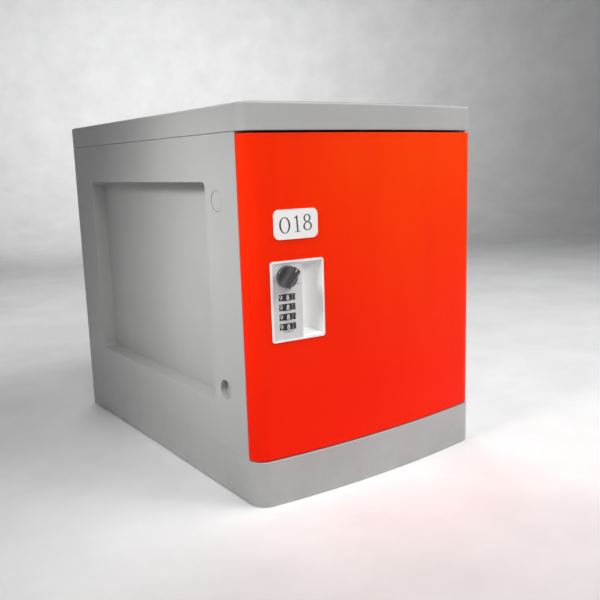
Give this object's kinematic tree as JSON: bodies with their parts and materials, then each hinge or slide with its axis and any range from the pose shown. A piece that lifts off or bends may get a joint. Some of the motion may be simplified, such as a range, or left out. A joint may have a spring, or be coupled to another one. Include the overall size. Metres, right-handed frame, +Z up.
{
  "type": "charging locker cell",
  "caption": "Moulded-plastic charging locker cell with a bowed wrap-around door, dial combination lock, finger pocket, recessed sides and a low plinth.",
  "frame": {"origin": "centre of the overall box, on the surface that the plinth stands on", "axes": "+Z up, -Y out of the front door, +X towards the hinge side"},
  "size_m": [0.32, 0.4882, 0.41],
  "materials": {
    "shell_plastic": "fine moulded texture, satin",
    "inner_plastic": "smooth satin",
    "door_plastic": "smooth, gently glossy",
    "lock_plastic": "smooth white",
    "plate_plastic": "smooth white",
    "knob_plastic": "glossy black",
    "wheel_plastic": "glossy black",
    "carrier_plastic": "dull dark",
    "charger_plastic": "fine texture",
    "steel": "ground",
    "screw_steel": "zinc plated",
    "rubber": "matt",
    "nylon": "natural",
    "circuit_board": "solder mask",
    "indicator": "translucent lens"
  },
  "bodies": {
    "cabinet": {"base_plinth": "shell_plastic", "left_side_panel": "shell_plastic", "right_side_panel": "shell_plastic", "top_cover": "shell_plastic", "joining_caps": "shell_plastic", "floor_panel": "inner_plastic", "left_inner_liner": "inner_plastic", "right_inner_liner": "inner_plastic", "back_panel": "inner_plastic", "ceiling_panel": "inner_plastic", "power_inlet": "carrier_plastic", "charger_case": "charger_plastic", "charger_faceplate": "charger_plastic", "lower_hinge_pin": "steel", "upper_hinge_pin": "steel", "strike_plate": "steel", "usb_sockets": "steel", "inlet_pins": "steel", "floor_screws": "screw_steel", "strike_screws": "screw_steel", "back_screws": "screw_steel", "cover_screws": "screw_steel", "charger_screws": "screw_steel", "rubber_feet": "rubber", "door_bumpers": "rubber", "hinge_washer": "nylon", "usb_tongues": "nylon", "charger_board": "circuit_board", "charge_indicator": "indicator"},
    "door": {"door_shell": "door_plastic", "door_inner_panel": "inner_plastic", "door_screws": "screw_steel", "number_plate": "plate_plastic", "lock_housing": "lock_plastic", "wheel_carrier": "carrier_plastic", "wheel_axle": "steel", "detent_spring": "steel", "lock_rear_cover": "carrier_plastic", "lock_screws": "screw_steel"},
    "latch_knob": {"lock_knob": "knob_plastic", "knob_spindle": "steel", "latch_cam": "steel", "cam_nut": "steel"},
    "wheel_1": {"number_wheel_1": "wheel_plastic"},
    "wheel_2": {"number_wheel_2": "wheel_plastic"},
    "wheel_3": {"number_wheel_3": "wheel_plastic"},
    "wheel_4": {"number_wheel_4": "wheel_plastic"}
  },
  "joints": [
    {"name": "door_hinge", "type": "hinge", "parent": "cabinet", "child": "door", "pos_m": [0.15443, -0.2157, 0.215], "axis": [0, 0, 1], "range_deg": [0, 120]},
    {"name": "knob_turn", "type": "hinge", "parent": "door", "child": "latch_knob", "pos_m": [-0.11925, -0.23096, 0.2396], "axis": [0.0924, 0.9957, 0], "range_deg": [0, 90]},
    {"name": "wheel_1_turn", "type": "hinge", "parent": "door", "child": "wheel_1", "pos_m": [-0.11834, -0.2212, 0.2186], "axis": [0, 0, 1], "continuous": true},
    {"name": "wheel_2_turn", "type": "hinge", "parent": "door", "child": "wheel_2", "pos_m": [-0.11834, -0.2212, 0.2086], "axis": [0, 0, 1], "continuous": true},
    {"name": "wheel_3_turn", "type": "hinge", "parent": "door", "child": "wheel_3", "pos_m": [-0.11834, -0.2212, 0.1986], "axis": [0, 0, 1], "continuous": true},
    {"name": "wheel_4_turn", "type": "hinge", "parent": "door", "child": "wheel_4", "pos_m": [-0.11834, -0.2212, 0.1886], "axis": [0, 0, 1], "continuous": true}
  ]
}
